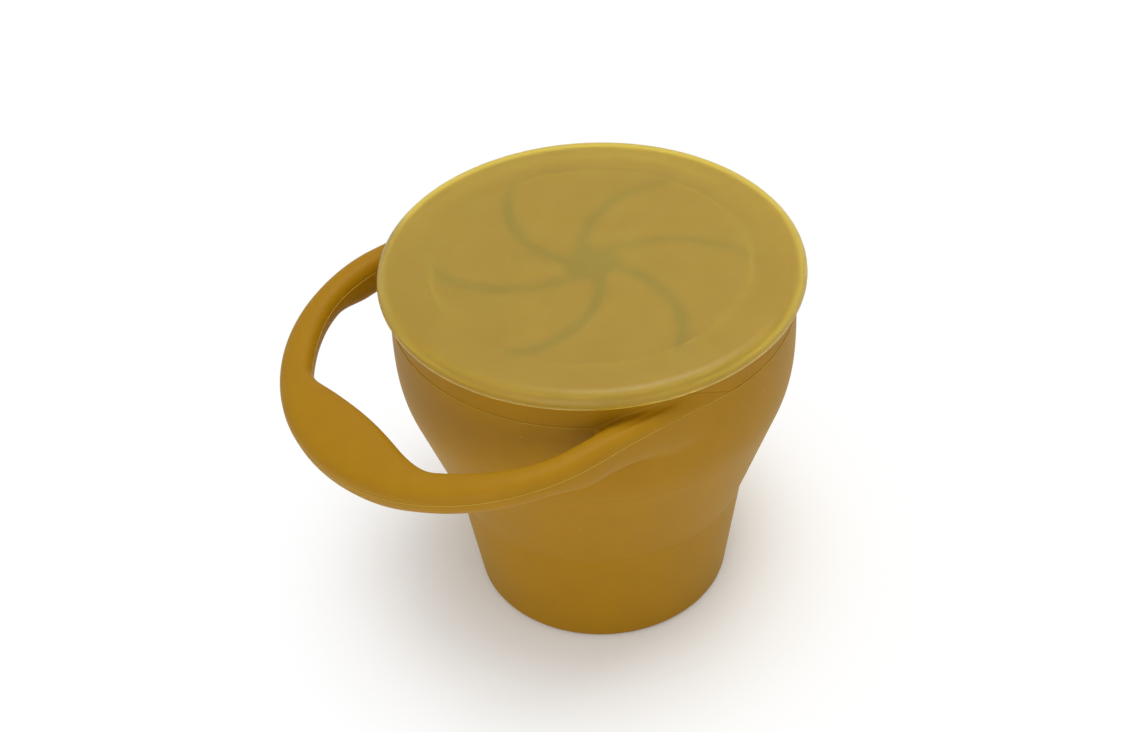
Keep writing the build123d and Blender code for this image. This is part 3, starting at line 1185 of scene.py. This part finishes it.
@dataclass
class Studio:
    """Pale floor, soft light and a camera at the photograph's place.

    The floor and the sky show white to the camera, as the photograph's ground does. Near the cup
    the floor is plain paper, so that it takes the cup's shadow.
    """

    camera_place: tuple[float, float, float] = (-202.1, -258.7, 331.4)
    azimuth: float = -36.7
    elevation: float = 39.78
    roll: float = -3.3
    lens: float = 60.8
    sensor: float = 36.0
    clip: tuple[float, float] = (10.0, 20000.0)
    aim_height: float = 50.0
    paper: str = "#FAF9F6"
    floor_size: float = 4000.0
    glow_start: float = 29.0
    glow_full: float = 84.0
    horizon_light: float = 0.8
    zenith_light: float = 0.58
    softboxes: tuple[Softbox, ...] = (
        Softbox("key_softbox", (85.0, -20.0, 470.0), 250.0, 1.05),
        Softbox("left_softbox", (-620.0, -200.0, 380.0), 500.0, 0.35),
        Softbox("low_fill", (-450.0, -380.0, 110.0), 300.0, 0.75),
    )

    def camera(self) -> None:
        """Place the camera from its azimuth, elevation and roll."""
        turn, tilt, roll = (math.radians(a) for a in (self.azimuth, self.elevation, self.roll))
        right = Vector((math.cos(turn), math.sin(turn), 0.0))
        level = math.cos(tilt)
        ahead = Vector((-math.sin(turn) * level, math.cos(turn) * level, -math.sin(tilt)))
        up = right.cross(ahead)
        x_axis = math.cos(roll) * right + math.sin(roll) * up
        y_axis = -math.sin(roll) * right + math.cos(roll) * up
        data = bpy.data.cameras.new("camera")
        data.lens = self.lens
        data.sensor_width = self.sensor
        data.clip_start, data.clip_end = (distance * MM for distance in self.clip)
        camera = bpy.data.objects.new("camera", data)
        columns = (x_axis, y_axis, -ahead)
        camera.matrix_world = Matrix.Translation(Vector(self.camera_place) * MM) @ Matrix(
            [[column[row] for column in columns] for row in range(3)]
        ).to_4x4()
        bpy.context.scene.collection.objects.link(camera)
        bpy.context.scene.camera = camera

    def floor(self) -> None:
        """Lay a floor of matt white paper that glows to the camera away from the cup.

        The share of the glow is a smooth step of the distance from the axis. Only the camera's own
        rays, glossy ones and those through the cover see it, so it doesn't light the cup's sides.
        """
        half = self.floor_size / 2.0 * MM
        mesh = bpy.data.meshes.new("floor")
        corners = [(-half, -half, 0.0), (half, -half, 0.0), (half, half, 0.0), (-half, half, 0.0)]
        mesh.from_pydata(corners, [], [(0, 1, 2, 3)])
        floor = bpy.data.objects.new("floor", mesh)
        bpy.context.scene.collection.objects.link(floor)
        made = bpy.data.materials.new("pale_paper")
        made.use_nodes = True
        tree = made.node_tree
        tree.nodes.clear()
        matt = {"Color": linear(self.paper), "Roughness": 1.0}
        paper = add_node(tree, "ShaderNodeBsdfDiffuse", matt, {})
        white = {"Color": linear("#FFFFFF"), "Strength": 1.0}
        glow = add_node(tree, "ShaderNodeEmission", white, {})
        seen = add_node(tree, "ShaderNodeLightPath", {}, {})
        direct = add_node(
            tree,
            "ShaderNodeMath",
            {"operation": "MAXIMUM"},
            {0: seen.outputs["Is Camera Ray"], 1: seen.outputs["Is Glossy Ray"]},
        )
        shown = add_node(
            tree,
            "ShaderNodeMath",
            {"operation": "MAXIMUM"},
            {0: direct.outputs[0], 1: seen.outputs["Is Transmission Ray"]},
        )
        place = add_node(tree, "ShaderNodeTexCoord", {}, {})
        away = add_node(
            tree, "ShaderNodeVectorMath", {"operation": "LENGTH"}, {0: place.outputs["Object"]}
        )
        far = add_node(
            tree,
            "ShaderNodeMapRange",
            {
                "interpolation_type": "SMOOTHSTEP",
                "From Min": self.glow_start * MM,
                "From Max": self.glow_full * MM,
            },
            {"Value": away.outputs["Value"]},
        )
        share = add_node(
            tree,
            "ShaderNodeMath",
            {"operation": "MULTIPLY"},
            {0: shown.outputs[0], 1: far.outputs["Result"]},
        )
        mixed = add_node(
            tree,
            "ShaderNodeMixShader",
            {},
            {0: share.outputs[0], 1: paper.outputs[0], 2: glow.outputs[0]},
        )
        add_node(tree, "ShaderNodeOutputMaterial", {}, {"Surface": mixed.outputs[0]})
        mesh.materials.append(made)

    def lamp(self, softbox: Softbox) -> None:
        """Hang one soft lamp and turn it to the cup.

        Args:
            softbox: the lamp's name, place, side and power.
        """
        data = bpy.data.lights.new(softbox.name, "AREA")
        data.shape = "SQUARE"
        data.size = softbox.side * MM
        data.energy = softbox.watts
        lamp = bpy.data.objects.new(softbox.name, data)
        place = Vector(softbox.place) * MM
        aim = Vector((0.0, 0.0, self.aim_height)) * MM - place
        turn = aim.to_track_quat("-Z", "Y").to_matrix().to_4x4()
        lamp.matrix_world = Matrix.Translation(place) @ turn
        bpy.context.scene.collection.objects.link(lamp)

    def world(self) -> None:
        """Fill the shade with a pale sky, a little brighter low down, and white to the camera."""
        world = bpy.data.worlds.new("studio")
        bpy.context.scene.world = world
        world.use_nodes = True
        tree = world.node_tree
        tree.nodes.clear()
        seen = add_node(tree, "ShaderNodeLightPath", {}, {})
        way = add_node(tree, "ShaderNodeTexCoord", {}, {})
        height = add_node(tree, "ShaderNodeSeparateXYZ", {}, {"Vector": way.outputs["Generated"]})
        shade = add_node(
            tree,
            "ShaderNodeMapRange",
            {"To Min": self.horizon_light, "To Max": self.zenith_light},
            {"Value": height.outputs["Z"]},
        )
        strength = add_node(
            tree,
            "ShaderNodeMapRange",
            {"To Max": 1.0},
            {"Value": seen.outputs["Is Camera Ray"], "To Min": shade.outputs["Result"]},
        )
        sky = add_node(
            tree,
            "ShaderNodeBackground",
            {"Color": linear("#FFFFFF")},
            {"Strength": strength.outputs["Result"]},
        )
        add_node(tree, "ShaderNodeOutputWorld", {}, {"Surface": sky.outputs[0]})

    def build(self) -> None:
        """Set the whole stage, with colours shown as they are."""
        bpy.context.scene.view_settings.view_transform = "Standard"
        self.camera()
        self.floor()
        self.world()
        for softbox in self.softboxes:
            self.lamp(softbox)


def main() -> None:
    """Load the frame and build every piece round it."""
    logging.basicConfig(level=logging.INFO)
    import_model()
    Studio().build()
    finishes = Finishes()
    cup_material = finishes.cup.material()
    cup = CupMoulding(cup_material, finishes.flash.material())
    flap_lid = FlapLid(cup, finishes.flap.material())
    pieces = [
        *cup.build(),
        *LoopHandle(cup, cup_material).build(),
        *flap_lid.build(),
        CoverLid(flap_lid, finishes.cover.material()).build(),
    ]
    for piece in pieces:
        LOG.info("%s: %d faces", piece.name, len(piece.data.polygons))


if __name__ == "__main__":
    main()
